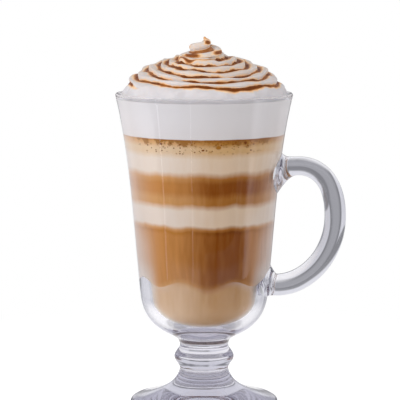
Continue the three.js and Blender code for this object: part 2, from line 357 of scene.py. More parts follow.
handle = {
    "reach": handleHigh[0],
    "thickness": 9.4,
    "slim": 0.86,  # share of the thickness left where the loop leaves the upper pad
    "slimEnd": (0.1, 0.45),  # share of the loop over which it gains its full thickness
    "depth": 11.4,
    "midHeight": 86.0,
    "squareness": 2.9,  # 2 is an ellipse, higher is flatter at the front
    # what its upper and lower half are drawn towards, as shares of the way and of the thickness
    "archBow": (0.34, 0.5, 0.3),
    "sweepBow": (0.6, 0.48, 0.25),
    "gap": 0.08,  # film of air between a pad and the wall
    "flare": 1.6,  # higher keeps a pad slim until nearer to the wall
    "padRows": (12, 20),  # on its back and along it
    "courseSteps": 200,
    "steps": 130,
    "sides": 72,
}
# each pad: its height on the wall and its length; how far it spreads towards the fingers, away from
# them and sideways; and how much of its length stays plain on these three sides
upperPad = {"height": 106.6, "length": 7.4, "spread": (5.4, 2.9, 9.3), "plain": (0.0, 0.5, 0.38)}
lowerPad = {"height": 55.2, "length": 4.6, "spread": (4.2, 0.4, 9.6), "plain": (0.1, 0.7, 0.2)}
handleAngle = turnSteps(handle["sides"])
wallLine = np.vstack([outerHeel(40), outerWall(120)[1:]])  # fine enough to seat the pads on


def onWall(y, z):
    radius = np.interp(z, wallLine[:, 1], wallLine[:, 0]) + handle["gap"]
    return np.stack([np.sqrt(np.maximum(radius ** 2 - y ** 2, 0)), y, z], -1)


def bySide(values):
    # one value for each point of a section, from those for the finger side, the far side and the flanks
    inner, outer, flank = values
    toward = np.cos(handleAngle)
    return lerp(flank, np.where(toward > 0, inner, outer), toward ** 2)


def loopCourse():
    h = handle
    mid = h["reach"] - h["thickness"] / 2
    upper, lower = ((float(onWall(np.array(0.0), pad["height"])[0]), pad["height"])
                    for pad in (upperPad, lowerPad))
    out, rise, crown = h["archBow"]
    arch = bezier(upper, (lerp(upper[0], mid, out), upper[1] + h["thickness"] * rise),
                  (mid, upper[1] + h["thickness"] * crown), (mid, h["midHeight"]), h["courseSteps"])
    down, back, dip = h["sweepBow"]
    sweep = bezier((mid, h["midHeight"]), (mid, lerp(h["midHeight"], lower[1], down)),
                   (lerp(mid, lower[0], back), lower[1] - h["thickness"] * dip), lower, h["courseSteps"])
    course = np.vstack([arch, sweep[1:]])
    along = lengthAlong(course)
    share = (1 - np.cos(np.linspace(0, math.pi, h["steps"] + 1))) / 2
    where = lerp(upperPad["length"], along[-1] - lowerPad["length"], share)
    centre = np.stack([np.interp(where, along, course[:, k]) for k in (0, 1)], axis=1)
    return centre, unit(np.gradient(centre, where, axis=0))


def padRings(pad, section, inward):
    # from the middle of the pad's back, out over the wall to its edge, then along to the loop's section
    half = handle["thickness"] / 2, handle["thickness"] / 2, handle["depth"] / 2
    inner, outer, flank = (h + s for h, s in zip(half, pad["spread"]))
    y = np.sin(handleAngle) * flank
    z = np.cos(handleAngle) * np.where(np.cos(handleAngle) > 0, inner, outer) * inward
    backRows, flareRows = handle["padRows"]
    back = [onWall(y * q, pad["height"] + z * q) for q in np.linspace(0.06, 1, backRows)]
    plain = bySide(pad["plain"])
    flare = []
    for share in np.linspace(1, 0, flareRows)[1:-1]:
        spread = np.clip((share - plain) / (1 - plain), 0, 1)[:, None] ** handle["flare"]
        ring = lerp(section, back[-1], spread)
        ring[:, 0] = lerp(section[:, 0], back[-1][:, 0], share)
        flare.append(ring)
    return np.array(back + flare)


def squash(wave):
    return np.sign(wave) * np.abs(wave) ** (2 / handle["squareness"])


def makeLoop():
    centre, tangent = loopCourse()
    across = np.stack([tangent[:, 1], -tangent[:, 0]], axis=1)
    slim = lerp(handle["slim"], 1.0, smoothStep(np.linspace(0, 1, len(centre)), *handle["slimEnd"]))
    inPlane = slim[:, None] * squash(np.cos(handleAngle)) * handle["thickness"] / 2
    y = squash(np.sin(handleAngle)) * handle["depth"] / 2
    x, z = (centre[:, k:k + 1] + across[:, k:k + 1] * inPlane for k in (0, 1))
    rings = np.stack(np.broadcast_arrays(x, y, z), -1)
    upper, lower = padRings(upperPad, rings[0], -1), padRings(lowerPad, rings[-1], 1)
    return addMesh("glassHandle", *skinRings(np.vstack([upper, rings, lower[::-1]])))


clearGlass = glassMaterial()
dress(makeBody(), clearGlass, "clear_glass", "glass_bowl", "glass_stem", "glass_foot")
dress(makeLoop(), clearGlass, "clear_glass", "glass_handle")
print("glass done")


# drink: seven turned layers that fill the cup

drink = {
    "gap": 0.3,
    "cling": 0.06,  # how far it reaches into the wall where it wets the glass
    "clingAbove": (55.0, 60.0),  # heights over which this begins
    "waveTurns": 7,
    "waveFront": 3.0,  # degrees right of the front where the coffee dips lowest
    "waveHeight": 1.5,
    "waveFade": (66.0, 61.0),  # heights where the wave begins, going down, and where it is full
    "cloudy": (113.0, 120.0, 3.4, 0.5),  # two heights, and how far a layer's edge is stirred there
    "radii": (50.0, 122.0, 23.4, 31.4),  # two heights, and the drink's radius at them
    # painted light and shade across the drink, from left to right, as shares of the radius: painted pale on
    # the left, where the key lamp falls, painted into shade towards the right of the middle, and painted
    # paler again at the right edge as a painted reflection of the right lamp
    "rise": (-0.62, 0.3),
    "fall": ((0.85, 0.5), (1.15, 0.6)),
    "fallChange": (84.0, 99.0),  # heights between the first fall and the second
    "rightShadeShare": 0.3,  # share of the painted shade left at the right edge
    "streaks": 0.1,
    # slant from which a milky sheen shows and where it is full, below and above the wetted part
    "veil": ((0.5, 0.92), (0.12, 0.34)),
    # tone of the sheen, and colour of the pale painted reflection on the drink's sides
    "sheenAndPaleEdge": srgb(250, 242, 234),
    "paleEdgeAside": (0.74, 0.98),  # share of the radius where the drink's sides are painted pale, a painted reflection
    # how this painted reflection thins out upwards, twice, and towards the floor: two heights, and its
    # share there
    "paleEdgeHeights": ((60.0, 70.0, 0.82, 0.3), (74.0, 86.0, 1.0, 0.0), (48.0, 60.0, 0.3, 1.0)),
    "sides": 240,
    "steps": (30, 90),  # over the floor and up the wall
    "rowMargin": 0.05,  # least distance of a row from a layer's face
    "leastRadius": 0.4,
    "layers": (
        ("milkCoffee", "milk_coffee_layer", "milk_coffee"),
        ("coffee", "coffee_layer", "coffee"),
        ("lowerMilk", "lower_milk_layer", "lower_milk"),
        ("caramelCoffee", "caramel_coffee_layer", "caramel_coffee"),
        ("upperMilk", "upper_milk_layer", "upper_milk"),
        ("crema", "crema_layer", "crema"),
        ("milkFoam", "milk_foam", "foam"),
    ),
    # each tone, pale and deep: the pale one is painted light for the lit left side, the deep one painted
    # shade, and random streaks also mix the two
    "pale": (srgb(222, 186, 146), srgb(186, 136, 76)),
    "milkCoffee": (srgb(232, 194, 152), srgb(197, 145, 80)),
    "amber": (srgb(226, 172, 112), srgb(178, 116, 50)),
    "coffee": (srgb(215, 151, 84), srgb(144, 79, 20)),
    "dark": (srgb(205, 138, 66), srgb(132, 70, 16)),
    "milk": (srgb(252, 240, 227), srgb(239, 215, 186)),
    "crema": (srgb(234, 188, 134), srgb(188, 130, 50)),
    "cremaPale": (srgb(244, 218, 184), srgb(222, 182, 128)),
    "foam": (srgb(246, 244, 246), srgb(240, 237, 237)),
    "smudge": srgb(150, 96, 34),  # golden blots that hang in the crema
    "smudgeFrom": (117.6, 123.2, 0.68, 0.37),  # two heights, and the noise from which they show there
    "smudgeEdge": 0.13,
    "smudgeShare": 0.75,
    "smudgeEnd": (123.7, 123.4),
    # dark grains in it: how many in a millimetre, least share, widest, colour
    "grains": ((0.3, 0.66, 0.42, srgb(176, 116, 44)), (0.45, 0.74, 0.44, srgb(128, 66, 16)),
               (0.81, 0.62, 0.44, srgb(140, 80, 26)), (1.1, 0.66, 0.42, srgb(150, 92, 34))),
    "grainsFade": (1.02, 0.7),  # share of the radius over which they thin out to the sides
    "grainsBand": ((116.4, 118.2), (123.6, 122.6)),  # heights where they begin, below and above
    "grainsFlat": 1.2,
    "grainsLeast": 0.03,
    "grainsStir": (0.4, 0.4, 0.4),
    # height in millimetres and tone, from the floor up
    "tones": (
        (35.0, "pale"), (42.0, "milkCoffee"), (56.4, "milkCoffee"), (58.6, "amber"), (61.0, "coffee"),
        (80.8, "coffee"), (82.6, "dark"), (84.0, "amber"), (85.6, "milk"), (92.4, "milk"), (95.2, "amber"),
        (97.6, "amber"), (100.4, "coffee"), (104.4, "coffee"), (106.8, "amber"), (109.6, "milk"),
        (115.2, "milk"), (117.8, "cremaPale"), (119.8, "cremaPale"), (121.8, "crema"), (122.9, "amber"),
        (123.5, "dark"), (123.7, "foam"), (139.2, "foam"),
    ),
}


def fillSide(gap):
    side = innerSide(*drink["steps"])
    along = unit(np.gradient(side, axis=0))
    side[:, 0] -= along[:, 1] * gap
    side[:, 1] += along[:, 0] * gap
    side[0, 0] = 0
    return side


def drinkMaterial(name):
    material, kit, skin = newMaterial(name, {
        "Roughness": 0.6, "Specular IOR Level": 0.0, "Sheen Roughness": 1.0, "Sheen Tint": drink["sheenAndPaleEdge"],
    })
    x, y, z = kit.split(kit.places())
    fromFront = kit.math("ARCTAN2", x, kit.times(y, -1.0))
    phase = kit.math("MULTIPLY_ADD", fromFront, float(drink["waveTurns"]),
                     -drink["waveTurns"] * math.radians(drink["waveFront"]))
    reach = kit.times(kit.mapRange(z, *drink["waveFade"]), drink["waveHeight"])
    swell = kit.times(kit.math("COSINE", phase), reach)
    cloud = kit.math("SUBTRACT", kit.noise((0.11, 0.11, 0.03), 3.0, 0.55), 0.5)
    shift = kit.times(cloud, kit.mapRange(z, *drink["cloudy"]))
    level = kit.math("ADD", z, kit.math("ADD", swell, shift))
    low, high = drink["tones"][0][0], drink["tones"][-1][0]
    place = kit.mapRange(level, low, high, smooth=False)
    stops = [((height - low) / (high - low), drink[tone]) for height, tone in drink["tones"]]
    paleLitTone, deepShadedTone = (kit.ramp(place, [(stop, tone[k]) for stop, tone in stops]) for k in (0, 1))
    aside = kit.math("DIVIDE", x, kit.mapRange(z, *drink["radii"], smooth=False))
    lowFall, highFall = (kit.mapRange(aside, *ends) for ends in drink["fall"])
    fall = kit.blend(kit.mapRange(z, *drink["fallChange"]), lowFall, highFall)
    fall = kit.math("MULTIPLY_ADD", fall, 1 - drink["rightShadeShare"], drink["rightShadeShare"])
    # painted shade: pale on the lit left, deep right of the middle, paler again at the right edge as a
    # painted reflection
    paintedShadeShare = kit.times(kit.mapRange(aside, *drink["rise"]), fall)
    streak = kit.noise((0.5, 0.5, 0.012), 3.0, 0.6)
    streak = kit.mapRange(streak, 0.3, 0.7, drink["streaks"], -drink["streaks"])
    color = kit.mix(kit.math("ADD", paintedShadeShare, streak, clamp=True), paleLitTone, deepShadedTone)
    slant = kit.add("ShaderNodeLayerWeight").outputs["Facing"]
    dry, wet = (kit.mapRange(slant, *ends) for ends in drink["veil"])
    wetted = kit.mapRange(kit.math("ADD", z, swell), *drink["clingAbove"])
    veil = kit.blend(wetted, dry, wet)
    # painted reflection: the drink's sides, as seen from the front, are painted pale
    paintedPaleEdge = kit.mapRange(kit.math("ABSOLUTE", aside), *drink["paleEdgeAside"])
    for change in drink["paleEdgeHeights"]:
        paintedPaleEdge = kit.times(paintedPaleEdge, kit.mapRange(z, *change))
    color = kit.mix(paintedPaleEdge, color, drink["sheenAndPaleEdge"])
    kit.fill(skin, {"Base Color": color, "Sheen Weight": veil})
    return material, kit, skin, color


def speckle(kit, skin, color):
    # dark grains and golden blots that float in the crema
    x, _, z = kit.split(kit.places())
    aside = kit.math("ABSOLUTE", kit.math("DIVIDE", x, drink["radii"][-1]))
    middle = kit.mapRange(aside, *drink["grainsFade"])
    band = kit.times(*(kit.mapRange(z, *ends) for ends in drink["grainsBand"]))
    smudge = kit.noise((0.3, 0.3, 0.34), 5.0, 0.68)
    plain = kit.mapRange(z, *drink["smudgeFrom"], smooth=False)
    full = kit.math("ADD", plain, drink["smudgeEdge"])
    hanging = kit.mapRange(smudge, plain, full, 0.0, drink["smudgeShare"])
    inside = kit.times(kit.mapRange(z, *drink["smudgeEnd"]), kit.mapRange(middle, 0.0, 0.5))
    color = kit.mix(kit.times(hanging, inside), color, drink["smudge"])
    stir = kit.add("ShaderNodeTexNoise", {"Vector": kit.places((0.8, 0.8, 0.8)), "Scale": 1.0})
    for size, least, widest, shade in drink["grains"]:
        places = kit.places((size, size, size * drink["grainsFlat"]))
        values = {0: stir.outputs["Color"], 1: drink["grainsStir"], 2: places}
        stirred = kit.add("ShaderNodeVectorMath", values, operation="MULTIPLY_ADD")
        cells = kit.add("ShaderNodeTexVoronoi", {"Vector": stirred.outputs[0], "Scale": 1.0})
        chance = kit.times(kit.split(cells.outputs["Color"])[0], middle)
        radius = kit.mapRange(chance, least, 1.0, 0.0, widest)
        grain = kit.mapRange(cells.outputs["Distance"], radius, kit.times(radius, 0.5))
        seen = kit.times(band, kit.math("GREATER_THAN", radius, drink["grainsLeast"]))
        color = kit.mix(kit.times(grain, seen), color, shade)
    kit.fill(skin, {"Base Color": color})


def makeDrink():
    dry, wet = fillSide(drink["gap"]), fillSide(-drink["cling"])
    angle = turnSteps(drink["sides"])
    dips = frontAngle + math.radians(drink["waveFront"])
    wave = drink["waveHeight"] * np.cos(drink["waveTurns"] * (angle - dips))
    for name, node, slot in drink["layers"]:
        low, high = (c[2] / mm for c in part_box(node))
        rows = dry[:, 1]
        rows = rows[(rows > low + drink["rowMargin"]) & (rows < high - drink["rowMargin"])]
        height = np.r_[low, rows, high][:, None]
        inner, outer = (np.maximum(np.interp(height, side[:, 1], side[:, 0]), drink["leastRadius"])
                        for side in (dry, wet))
        radius = lerp(inner, outer, smoothStep(height + wave, *drink["clingAbove"]))
        layer = addMesh(name, *skinRings(aroundAxis(radius, angle, height)))
        material, kit, skin, color = drinkMaterial(name + "Look")
        if name == "crema":
            speckle(kit, skin, color)
        dress(layer, material, slot, node)


makeDrink()
print("drink done")


# cream: a rope of whipped cream wound up from the rim, with a dollop on top

creamLow, creamHigh = (np.array(c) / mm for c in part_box("whipped_cream"))
peakLow, peakHigh = (np.array(c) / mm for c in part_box("cream_peak"))

cream = {
    "seatRadius": 7.8,
    "sideBow": ((0.02, 0.6), (0.44, 0.76)),
    "tilt": 0.1,  # the top of the mound leans to the front
    "tiltOver": (6, 22),  # distance up the mound over which this begins
    "pitch": 5.6,
    "start": 8.4,
    "lean": 4.7,
    "leanFrom": -0.35,  # angle from the front, left positive, where the turns lie lowest
    "leanEnd": (2.2, 4.6, 0.8),  # turns over which the lean eases, and by how much
    "waves": 7.6,
    "waveSwing": 0.66,
    "waveDecay": 0.02,
    "wander": (0.35, 2.3),  # how far a crease strays, and how often
    "turns": 9,  # more than the mound has room for
    "topMargin": 1.5,
    "begin": -5.5,
    "fade": 0.7,
    "creaseDepth": 1.9,
    "creaseEdge": 1.7,  # higher is more like a step
    "creaseEnds": 2.5,  # distance from foot and seat over which creases begin
    "overhang": 0.8,  # reach of a crease above and below its line
    "shelf": 2.9,
    # lumps all over, folds near the foot, waves of the pool: size, how many round it, slant, start
    "lumps": ((0.24, 5, 0.45, 0.0), (0.18, 11, -0.7, 1.0)),
    "folds": ((0.3, 19, 0.3, 0.0), (0.2, 31, -0.4, 0.0)),
    "poolWaves": ((0.4, 3, 0.0, 1.0), (0.25, 8, 0.0, 0.0)),
    "lumpSink": 0.2,  # keeps lumps and folds inside the mound's outline
    "lumpEnds": 6,
    "foldSink": 0.3,
    "foldsAt": (5, 3.5, 3),  # middle, reach, and distance over which they begin
    "pool": (4.3, 0.8),  # distance below the seat, and half width
    "soakReach": (1.7, 0.75),  # how far syrup soaks in below and above its line, in widths
    "soakWidth": (0.35, 0.3, 14),  # what is added to its width: mean, unevenness, how often
    "soakEdge": 2.2,
    "rows": 168,
    "sectors": 580,
    "white": srgb(209, 205, 207),
    "shade": srgb(202, 197, 200),
    "warm": srgb(216, 194, 174),  # its tone higher up, where syrup has soaked in
    "warmFrom": (142.0, 154.0, 0.0, 0.75),
    "grain": 0.34,  # unevenness of what is soaked
    # amount of syrup over which each deeper tone comes in
    "soaked": ((0.06, 0.32, srgb(234, 200, 164)), (0.3, 0.62, srgb(200, 136, 76)),
               (0.56, 0.86, srgb(128, 68, 16))),
}
moundFoot, moundTop, moundRadius = creamLow[2], creamHigh[2], creamHigh[0]
moundSide = bowed((moundRadius, moundFoot), (cream["seatRadius"], moundTop), cream["sideBow"], 400)
moundAlong = lengthAlong(moundSide)
moundLength = moundAlong[-1]
moundTangent = np.gradient(moundSide, moundAlong, axis=0)


def creaseLine(wound):
    # how far up the mound a crease lies, at an angle wound up from the front towards the left
    lowness = ((1 + np.cos(wound - cream["leanFrom"])) / 2) ** 2
    wave = cream["waveSwing"] * np.cos(cream["waves"] * wound) * (1 - cream["waveDecay"] * wound)
    start, end, eased = cream["leanEnd"]
    lean = cream["lean"] * (1 - eased * smoothStep(wound / fullTurn, start, end))
    stray, often = cream["wander"]
    return (cream["start"] + cream["pitch"] * wound / fullTurn + lean * (1 - lowness)
            + wave + stray * ripple(wound * often, 3.0))


def creaseEnd():
    wound = np.arange(0, cream["turns"] * fullTurn, 0.02)
    return wound[np.argmax(creaseLine(wound) > moundLength - cream["topMargin"])]


lastWound = creaseEnd()


def creaseStrength(wound):
    ends = np.minimum(wound - cream["begin"], lastWound - wound)
    return smoothStep(ends, 0, cream["fade"])


def eachTurn(distance, angle):
    # offsets from every turn of the crease at one angle about the axis
    first = np.mod(frontAngle - angle - cream["begin"], fullTurn) + cream["begin"]
    for turn in range(cream["turns"]):
        wound = first + turn * fullTurn
        yield wound, distance - creaseLine(wound)


def creaseDepth(distance, angle):
    # each crease is steep under the turn above it and easy on the turn below it
    depth = np.zeros(np.broadcast(distance, angle).shape)
    for wound, off in eachTurn(distance, angle):
        reach = np.where(off > 0, cream["overhang"], cream["shelf"])
        cut = np.exp(-np.abs(off / reach) ** cream["creaseEdge"])
        depth = np.maximum(depth, creaseStrength(wound) * cut)
    ends = np.minimum(distance, moundLength - distance)
    return cream["creaseDepth"] * depth * smoothStep(ends, 0, cream["creaseEnds"])


def onMound(distance, angle, lift):
    # a spot of the mound's side, lifted off it
    radius, height, out, up = (np.interp(distance, moundAlong, values)
                               for values in (*moundSide.T, *moundTangent.T))
    spots = aroundAxis(radius + up * lift, angle, height - out * lift)
    lean = cream["tilt"] * smoothStep(distance, *cream["tiltOver"])
    spots[..., 2] += lean * spots[..., 1]
    return spots


def roundWaves(kind, distance, angle):
    return sum(size * np.sin(count * angle + slant * distance + start)
               for size, count, slant, start in cream[kind])


def creamRise(distance, angle):
    # creases, and soft hand-piped lumps between them
    fade = smoothStep(np.minimum(distance, moundLength - distance), 0, cream["lumpEnds"])
    lumps = roundWaves("lumps", distance, angle) - cream["lumpSink"]
    folds = roundWaves("folds", distance, angle) - cream["foldSink"]
    middle, reach, begin = cream["foldsAt"]
    low = np.exp(-((distance - middle) / reach) ** 2) * smoothStep(distance, 0, begin)
    return fade * lumps + low * folds - creaseDepth(distance, angle)


syrup = {
    "width": 0.82,  # half width
    "height": 0.5,
    "sink": 0.08,  # how deep its underside lies in the cream
    "below": 0.35,  # how far its middle lies under the line of the crease
    "share": 0.8,  # of the width, on average
    "swells": ((0.32, 2.9, 1.0), (0.3, 8.0, 5.0)),  # its unevenness: size, how often, start
    "least": 0.14,  # where it is narrower it breaks off
    "shortest": 8,  # steps in a run, and steps over which a run tapers
    "taper": 10,
    "free": (0.3, 0.1),  # angle left free at both ends
    "step": 0.012,
    "dark": srgb(112, 56, 12),
    "amber": srgb(180, 110, 40),
}


def syrupWidth(wound):
    swells = (size * ripple(wound * often, start) for size, often, start in syrup["swells"])
    width = syrup["width"] * sum(swells, syrup["share"])
    return np.maximum(width, 0.0) * smoothStep(creaseStrength(wound), 0.1, 0.9)


def stainNear(distance, angle):
    # how much syrup has soaked in, from 0 to 1
    stain = np.zeros(np.broadcast(distance, angle).shape)
    more, uneven, often = cream["soakWidth"]
    for wound, off in eachTurn(distance, angle):
        width = syrupWidth(wound) + more + uneven * ripple(wound * often, 2.0)
        reach = np.where(off < 0, *cream["soakReach"]) * np.maximum(width, 0.12)
        spread = np.exp(-np.abs((off + syrup["below"]) / reach) ** cream["soakEdge"])
        stain = np.maximum(stain, creaseStrength(wound) * spread)
    # syrup that ran down from the dollop and stands round it
    away, half = cream["pool"]
    off = moundLength - distance - away - roundWaves("poolWaves", distance, angle)
    amount = np.clip(0.85 + 0.35 * np.sin(5 * angle + 0.6), 0, 1)
    return np.maximum(stain, amount * np.exp(-np.abs(off / half) ** cream["soakEdge"]))


def paint(piece, name, values):
    layer = piece.data.attributes.new(name, "FLOAT", "POINT")
    layer.data.foreach_set("value", np.asarray(values, np.float32))


def creamMaterial():
    material, kit, skin = newMaterial("whippedCream", {
        "Roughness": 0.5, "Specular IOR Level": 0.35, "Subsurface Weight": 0.3, "Subsurface Scale": 0.003,
        "Subsurface Radius": (1.0, 0.8, 0.65),
    })
    soak = kit.add("ShaderNodeAttribute", attribute_name="soak").outputs["Fac"]
    grain = kit.noise((0.9, 0.9, 0.9), 4.0, 0.6)
    uneven = kit.math("ADD", soak, kit.times(kit.math("SUBTRACT", grain, 0.5), cream["grain"]))
    color = kit.mix(kit.noise((0.12, 0.12, 0.12)), cream["shade"], cream["white"])
    high = kit.mapRange(kit.split(kit.places())[2], *cream["warmFrom"])
    color = kit.mix(kit.times(high, kit.mapRange(grain, 0.3, 0.6)), color, cream["warm"])
    for low, full, tone in cream["soaked"]:
        color = kit.mix(kit.mapRange(uneven, low, full), color, tone)
    kit.fill(skin, {"Base Color": color, "Normal": kit.bump(grain, 0.2, 0.0003)})
    return material


def makeMound():
    share = np.linspace(0, 1, cream["rows"] + 1)[:, None]
    angle = turnSteps(cream["sectors"])[None, :]
    distance = np.broadcast_to(share * moundLength, (cream["rows"] + 1, cream["sectors"]))
    mound = addMesh("creamSwirl", *skinRings(onMound(distance, angle, creamRise(distance, angle))))
    paint(mound, "soak", np.r_[stainNear(distance, angle).ravel(), 0, 0])
    return mound


def makeSyrup():
    first, last = syrup["free"]
    wound = np.arange(cream["begin"] + first, lastWound - last, syrup["step"])
    width = syrupWidth(wound)
    arc = np.radians((180, 145, 110, 75, 40, 0))  # a low dome, listed from its lower edge
    section = np.vstack([np.stack([np.cos(arc), np.sin(arc)], axis=1), (0.0, -0.15)])
    skins, thick = [], []
    breaks = np.where(np.diff((width > syrup["least"]).astype(int)))[0] + 1
    for run in np.split(np.arange(len(wound)), breaks):
        if len(run) < syrup["shortest"] or width[run].mean() < syrup["least"]:
            continue
        w = wound[run]
        ends = np.minimum(np.arange(len(run)), np.arange(len(run))[::-1])
        half = width[run] * smoothStep(ends, -1, syrup["taper"])
        angle = (frontAngle - w)[:, None]
        distance = (creaseLine(w) - syrup["below"])[:, None] + section[None, :, 0] * half[:, None]
        tall = syrup["height"] * np.minimum(half / syrup["width"], 1.2)
        lift = creamRise(distance, angle) - syrup["sink"] + section[None, :, 1] * tall[:, None]
        skins.append(skinRings(onMound(distance, angle, lift)[:, ::-1]))
        thick += np.repeat(half, len(section)).tolist() + [half[0], half[-1]]
    line = addMesh("syrupDrizzle", *joined(skins))
    paint(line, "thick", thick)
    return line


def syrupMaterial():
    material, kit, skin = newMaterial("caramelSyrup", {"Specular IOR Level": 0.15})
    thick = kit.add("ShaderNodeAttribute", attribute_name="thick").outputs["Fac"]
    grain = kit.noise((0.7, 0.7, 0.7), 4.0, 0.6)
    depth = kit.math("ADD", thick, kit.times(kit.math("SUBTRACT", grain, 0.5), 0.6))
    color = kit.mix(kit.mapRange(depth, 0.2, 0.75), syrup["amber"], syrup["dark"])
    rough = kit.mapRange(grain, 0.3, 0.7, 0.4, 0.6)
    kit.fill(skin, {"Base Color": color, "Roughness": rough, "Normal": kit.bump(grain, 0.25, 0.0003)})
    return material


peak = {
    # the last rope: angle from the front (right positive), distance from the axis, height, thickness
    "rope": ((-125, 8.8, -1.4, 0.6), (-75, 9.4, -1.2, 2.5), (-20, 9.2, -1.1, 3.5), (30, 7.9, -0.4, 3.7),
             (90, 5.7, 0.7, 3.8), (180, 4.1, 1.7, 3.7), (262, 5.0, 2.1, 3.6), (305, 4.3, 2.6, 3.6),
             (355, 2.9, 3.5, 3.5), (430, 1.6, 4.5, 3.0), (500, 0.9, 5.5, 2.0), (540, 0.8, 6.9, 0.8)),
    # syrup on it: angle from the front, height, spread of both, amount
    "drops": ((28, 4.7, 26, 0.9, 1.0), (-88, 2.7, 14, 0.8, 0.75), (50, 0.8, 26, 0.8, 1.0),
              (-34, 0.0, 26, 0.8, 1.0), (150, 3.0, 30, 0.8, 0.9), (215, 1.2, 30, 0.7, 0.9)),
    # and on its tip, at its foot and between its turns: where it begins, where it is full, amount
    "tipSoak": (4.9, 6.0, 0.5),
    "footSoak": (-0.1, -1.0, 0.9),
    "turnSoak": (1.0, 1.25, 0.75),
    "core": ((7.1, 0.0), (6.2, 0.5), (3.6, 2.0), (1.6, 4.0), (0.6, 5.2)),  # distance from the axis, height
    "coreSides": 64,
    "droop": (0.26, 0.1),  # slope and depth of what hangs over the seat
    "steps": 420,
    "rounding": 30,  # steps to both sides over which the course is rounded off
    "thinnest": 0.25,
    "sides": 28,
    "grain": 0.2,
    "smoothing": 6,
}


def melt(piece):
    # the turns of the rope run into one soft skin
    skin = piece.modifiers.new("skin", "REMESH")
    skin.mode, skin.voxel_size, skin.use_smooth_shade = "VOXEL", peak["grain"] * mm, True
    soften = piece.modifiers.new("soften", "SMOOTH")
    soften.factor, soften.iterations = 0.5, peak["smoothing"]
    done = piece.evaluated_get(bpy.context.evaluated_depsgraph_get())
    piece.data = bpy.data.meshes.new_from_object(done)
    piece.modifiers.clear()


def ropeCourse():
    rows = np.array(peak["rope"], float)
    span = peak["rounding"]
    window = np.hanning(2 * span + 1)
    turn = np.linspace(rows[0, 0], rows[-1, 0], peak["steps"])
    course = np.stack([np.interp(turn, rows[:, 0], rows[:, k]) for k in (1, 2, 3)], axis=1)
    course = np.pad(course, ((span, span), (0, 0)), mode="reflect", reflect_type="odd")
    away, height, thick = (np.convolve(column, window / window.sum(), "valid") for column in course.T)
    angle = frontAngle + np.radians(turn)
    return aroundAxis(away, angle, peakLow[2] + height), np.maximum(thick / 2, peak["thinnest"])


def makePeak():
    centre, half = ropeCourse()
    along = unit(np.gradient(centre, axis=0))
    aside = unit(np.cross(along, (0, 0, 1)))
    over = np.cross(aside, along)
    angle = turnSteps(peak["sides"])[None, :, None]
    circle = np.cos(angle) * aside[:, None] + np.sin(angle) * over[:, None]
    rings = centre[:, None] + half[:, None, None] * circle
    radius, height = np.array(peak["core"]).T
    core = aroundAxis(radius[:, None], turnSteps(peak["coreSides"]), peakLow[2] + height[:, None])
    points, faces = joined([skinRings(rings[:, ::-1]), skinRings(core)])
    slope, depth = peak["droop"]
    under = slope * np.maximum(np.hypot(points[:, 0], points[:, 1]) - cream["seatRadius"], 0) + depth
    points[:, 2] = np.clip(points[:, 2], peakLow[2] - under, peakHigh[2])
    dollop = addMesh("creamPeak", points, faces)
    melt(dollop)
    spots = np.empty(len(dollop.data.vertices) * 3)
    dollop.data.vertices.foreach_get("co", spots)
    spots = spots.reshape(-1, 3) / mm
    # how far a spot lies between the turns of the rope, in half thicknesses
    depth = np.min(np.linalg.norm(spots[:, None] - centre[None, ::3], axis=2) / half[None, ::3], axis=1)
    turned = np.degrees(np.arctan2(spots[:, 0], -spots[:, 1]))
    high = spots[:, 2] - peakLow[2]
    soak = np.zeros(len(spots))
    for measure, kind in ((high, "tipSoak"), (high, "footSoak"), (depth, "turnSoak")):
        begin, full, amount = peak[kind]
        soak = np.maximum(soak, amount * smoothStep(measure, begin, full))
    for angle, height, width, tall, amount in peak["drops"]:
        aside = (turned - angle + 180) % 360 - 180
        drop = np.exp(-(np.abs(aside / width) ** 3 + np.abs((high - height) / tall) ** 3))
        soak = np.maximum(soak, amount * drop)
    paint(dollop, "soak", soak)
    spots[:, 2] += cream["tilt"] * spots[:, 1] * (1 - high / (peakHigh[2] - peakLow[2]))
    dollop.data.vertices.foreach_set("co", (spots * mm).ravel())
    dollop.data.update()
    return dollop


whitened = creamMaterial()
dress(makeMound(), whitened, "cream", "whipped_cream")
dress(makePeak(), whitened, "cream", "cream_peak")
dress(makeSyrup(), syrupMaterial(), "syrup", "syrup_drizzle")
print("cream and syrup done")


# studio: pale floor, white surroundings, soft boxes

